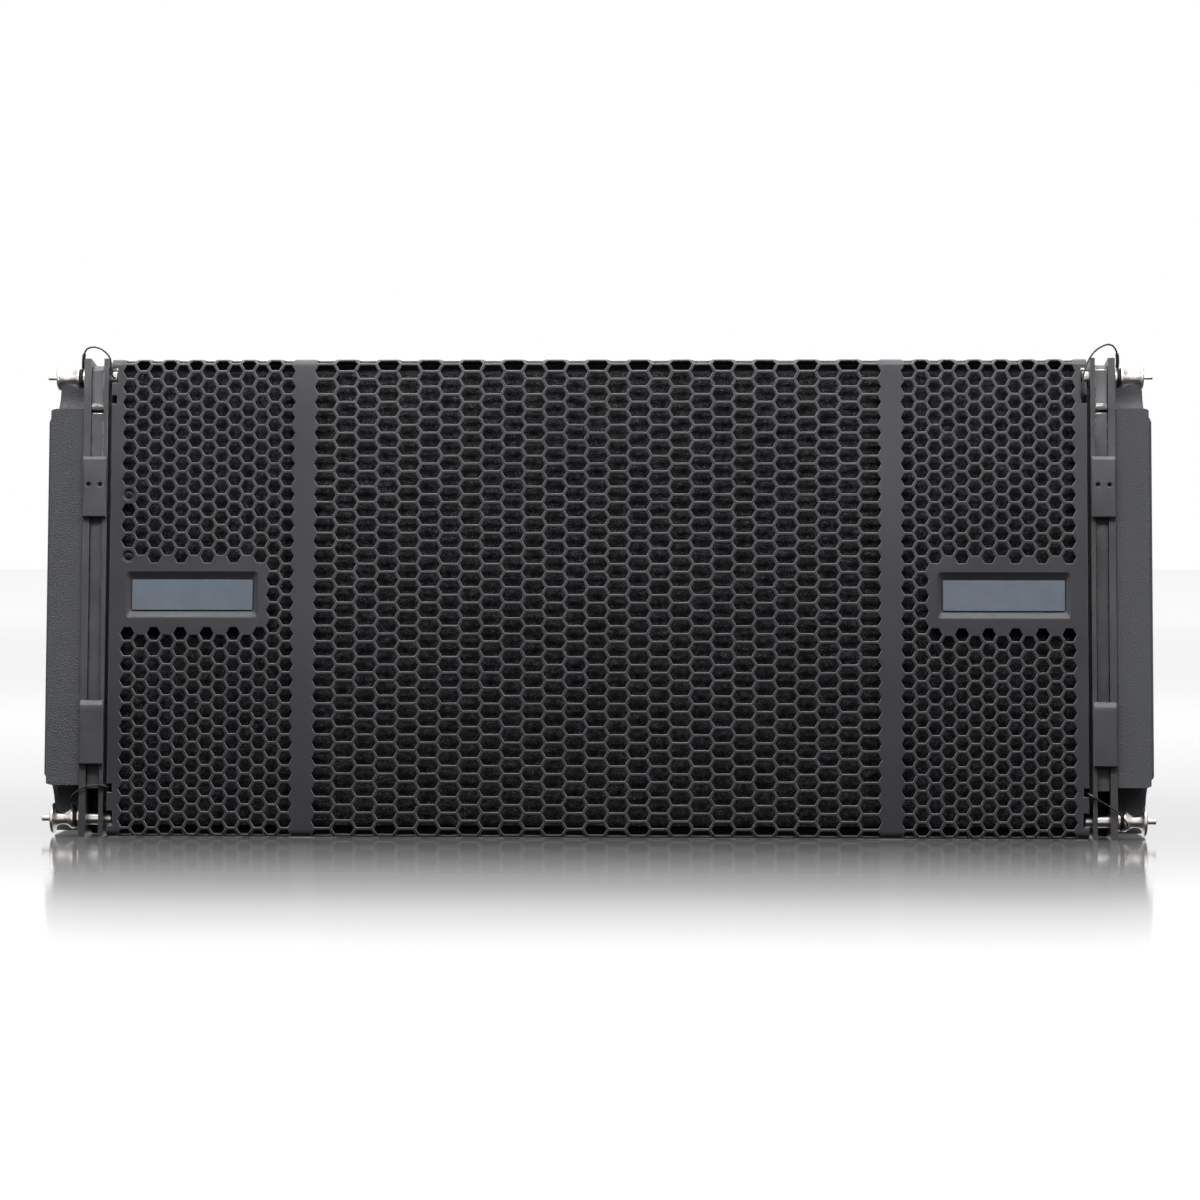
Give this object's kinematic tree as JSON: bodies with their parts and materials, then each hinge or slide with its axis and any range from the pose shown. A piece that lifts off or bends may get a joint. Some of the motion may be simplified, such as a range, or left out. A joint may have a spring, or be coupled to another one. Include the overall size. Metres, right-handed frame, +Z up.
{
  "type": "line array speaker",
  "caption": "Wedge line array speaker module with perforated front grille, twin woofers, central horn, sliding link rigging, lock pins, splay arm and rear amplifier.",
  "frame": {"origin": "on the floor under the middle of the module's box, lanyards left out", "axes": "+Z up, -Y towards the audience (the grille faces -Y and leans back 5 degrees), +X to the right as seen from the front"},
  "size_m": [0.725, 0.4622, 0.3213],
  "materials": {
    "birch_ply_black": "black textured paint on birch plywood",
    "grained_plastic": "fine leather-grain moulding, slate grey",
    "powder_coated_steel": "satin dark grey powder coat",
    "rigging_steel": "satin black coating, rubbed at the edges",
    "acoustic_foam": "open-cell acoustic foam",
    "badge_metal": "blank plate, blue-grey satin",
    "nickel_steel": "turned and nickel plated",
    "lanyard_sleeve": "wire rope in a dark sleeve",
    "cast_basket": "die cast, black",
    "paper_cone": "pressed paper, matt black",
    "butyl_rubber": "matt half roll",
    "ferrite": "ferrite ring between plated steel plates",
    "horn_plastic": "moulded, fine texture",
    "black_aluminium": "black anodised",
    "circuit_board": "solder-masked board",
    "socket_plastic": "glass-filled nylon",
    "power_blue": "locking mains inlet",
    "power_grey": "locking mains outlet"
  },
  "bodies": {
    "cabinet": {"top_panel": "birch_ply_black", "bottom_panel": "birch_ply_black", "side_wall_left": "birch_ply_black", "side_wall_right": "birch_ply_black", "rear_panel": "birch_ply_black", "front_baffle": "birch_ply_black", "side_panel_left": "grained_plastic", "badge_plate_left": "badge_metal", "woofer_basket_left": "cast_basket", "woofer_surround_left": "butyl_rubber", "woofer_magnet_left": "ferrite", "front_channel_left": "rigging_steel", "link_keeper_left": "rigging_steel", "lanyard_top_left": "lanyard_sleeve", "lanyard_low_left": "lanyard_sleeve", "side_panel_right": "grained_plastic", "badge_plate_right": "badge_metal", "woofer_basket_right": "cast_basket", "woofer_surround_right": "butyl_rubber", "woofer_magnet_right": "ferrite", "front_channel_right": "rigging_steel", "link_keeper_right": "rigging_steel", "lanyard_top_right": "lanyard_sleeve", "lanyard_low_right": "lanyard_sleeve", "front_grille": "powder_coated_steel", "acoustic_foam": "acoustic_foam", "horn_waveguide": "horn_plastic", "compression_driver": "ferrite", "rear_channel": "rigging_steel", "splay_pivot_bolt": "nickel_steel", "amplifier_heatsink": "black_aluminium", "amplifier_board": "circuit_board", "power_supply": "black_aluminium", "control_plate": "black_aluminium", "power_in_socket": "power_blue", "power_out_socket": "power_grey", "signal_in_socket": "socket_plastic", "signal_out_socket": "socket_plastic"},
    "front_link_left": {"front_link_bar_left": "rigging_steel", "slide_grip_left": "rigging_steel"},
    "front_pin_top_left": {"front_pin_top_left": "nickel_steel"},
    "front_pin_top_left_button": {"front_pin_top_left_button": "nickel_steel"},
    "front_pin_low_left": {"front_pin_low_left": "nickel_steel"},
    "front_pin_low_left_button": {"front_pin_low_left_button": "nickel_steel"},
    "woofer_cone_left": {"woofer_cone_left": "paper_cone"},
    "front_link_right": {"front_link_bar_right": "rigging_steel", "slide_grip_right": "rigging_steel"},
    "front_pin_top_right": {"front_pin_top_right": "nickel_steel"},
    "front_pin_top_right_button": {"front_pin_top_right_button": "nickel_steel"},
    "front_pin_low_right": {"front_pin_low_right": "nickel_steel"},
    "front_pin_low_right_button": {"front_pin_low_right_button": "nickel_steel"},
    "woofer_cone_right": {"woofer_cone_right": "paper_cone"},
    "splay_arm": {"splay_arm": "rigging_steel"},
    "rear_pin_upper": {"rear_pin_upper": "nickel_steel"},
    "rear_pin_upper_button": {"rear_pin_upper_button": "nickel_steel"},
    "rear_pin_lower": {"rear_pin_lower": "nickel_steel"},
    "rear_pin_lower_button": {"rear_pin_lower_button": "nickel_steel"},
    "splay_selector": {"splay_selector": "socket_plastic"},
    "preset_selector": {"preset_selector": "socket_plastic"},
    "reset_button": {"reset_button": "socket_plastic"}
  },
  "joints": [
    {"name": "front_link_left_slide", "type": "slide", "parent": "cabinet", "child": "front_link_left", "axis": [0, 0.0872, 0.9962], "range_m": [0, 0.0235]},
    {"name": "front_pin_top_left_pull", "type": "slide", "parent": "cabinet", "child": "front_pin_top_left", "axis": [-1, 0, 0], "range_m": [0, 0.022], "deforming": ["lanyard_top_left"]},
    {"name": "front_pin_top_left_press", "type": "slide", "parent": "front_pin_top_left", "child": "front_pin_top_left_button", "axis": [1, 0, 0], "range_m": [0, 0.003], "stiffness_N_per_m": 900},
    {"name": "front_pin_low_left_pull", "type": "slide", "parent": "cabinet", "child": "front_pin_low_left", "axis": [-1, 0, 0], "range_m": [0, 0.022], "deforming": ["lanyard_low_left"]},
    {"name": "front_pin_low_left_press", "type": "slide", "parent": "front_pin_low_left", "child": "front_pin_low_left_button", "axis": [1, 0, 0], "range_m": [0, 0.003], "stiffness_N_per_m": 900},
    {"name": "woofer_cone_left_travel", "type": "slide", "parent": "cabinet", "child": "woofer_cone_left", "axis": [0, -0.9962, 0.0872], "range_m": [-0.004, 0.004], "stiffness_N_per_m": 2500, "deforming": ["woofer_surround_left"]},
    {"name": "front_link_right_slide", "type": "slide", "parent": "cabinet", "child": "front_link_right", "axis": [0, 0.0872, 0.9962], "range_m": [0, 0.0235]},
    {"name": "front_pin_top_right_pull", "type": "slide", "parent": "cabinet", "child": "front_pin_top_right", "axis": [1, 0, 0], "range_m": [0, 0.022], "deforming": ["lanyard_top_right"]},
    {"name": "front_pin_top_right_press", "type": "slide", "parent": "front_pin_top_right", "child": "front_pin_top_right_button", "axis": [-1, 0, 0], "range_m": [0, 0.003], "stiffness_N_per_m": 900},
    {"name": "front_pin_low_right_pull", "type": "slide", "parent": "cabinet", "child": "front_pin_low_right", "axis": [1, 0, 0], "range_m": [0, 0.022], "deforming": ["lanyard_low_right"]},
    {"name": "front_pin_low_right_press", "type": "slide", "parent": "front_pin_low_right", "child": "front_pin_low_right_button", "axis": [-1, 0, 0], "range_m": [0, 0.003], "stiffness_N_per_m": 900},
    {"name": "woofer_cone_right_travel", "type": "slide", "parent": "cabinet", "child": "woofer_cone_right", "axis": [0, -0.9962, 0.0872], "range_m": [-0.004, 0.004], "stiffness_N_per_m": 2500, "deforming": ["woofer_surround_right"]},
    {"name": "splay_arm_swing", "type": "hinge", "parent": "cabinet", "child": "splay_arm", "pos_m": [0, 0.21288, 0.2121], "axis": [1, 0, 0], "range_deg": [0, 175]},
    {"name": "rear_pin_upper_pull", "type": "slide", "parent": "cabinet", "child": "rear_pin_upper", "axis": [1, 0, 0], "range_m": [0, 0.03]},
    {"name": "rear_pin_upper_press", "type": "slide", "parent": "rear_pin_upper", "child": "rear_pin_upper_button", "axis": [-1, 0, 0], "range_m": [0, 0.003], "stiffness_N_per_m": 900},
    {"name": "rear_pin_lower_pull", "type": "slide", "parent": "cabinet", "child": "rear_pin_lower", "axis": [1, 0, 0], "range_m": [0, 0.03]},
    {"name": "rear_pin_lower_press", "type": "slide", "parent": "rear_pin_lower", "child": "rear_pin_lower_button", "axis": [-1, 0, 0], "range_m": [0, 0.003], "stiffness_N_per_m": 900},
    {"name": "splay_selector_turn", "type": "hinge", "parent": "cabinet", "child": "splay_selector", "pos_m": [0.17, 0.19051, 0.15382], "axis": [0, 0.9962, -0.0872], "range_deg": [-150, 150]},
    {"name": "preset_selector_turn", "type": "hinge", "parent": "cabinet", "child": "preset_selector", "pos_m": [0.215, 0.19051, 0.15382], "axis": [0, 0.9962, -0.0872], "range_deg": [-150, 150]},
    {"name": "reset_button_press", "type": "slide", "parent": "cabinet", "child": "reset_button", "axis": [0, -0.9962, 0.0872], "range_m": [0, 0.0015], "stiffness_N_per_m": 900}
  ]
}
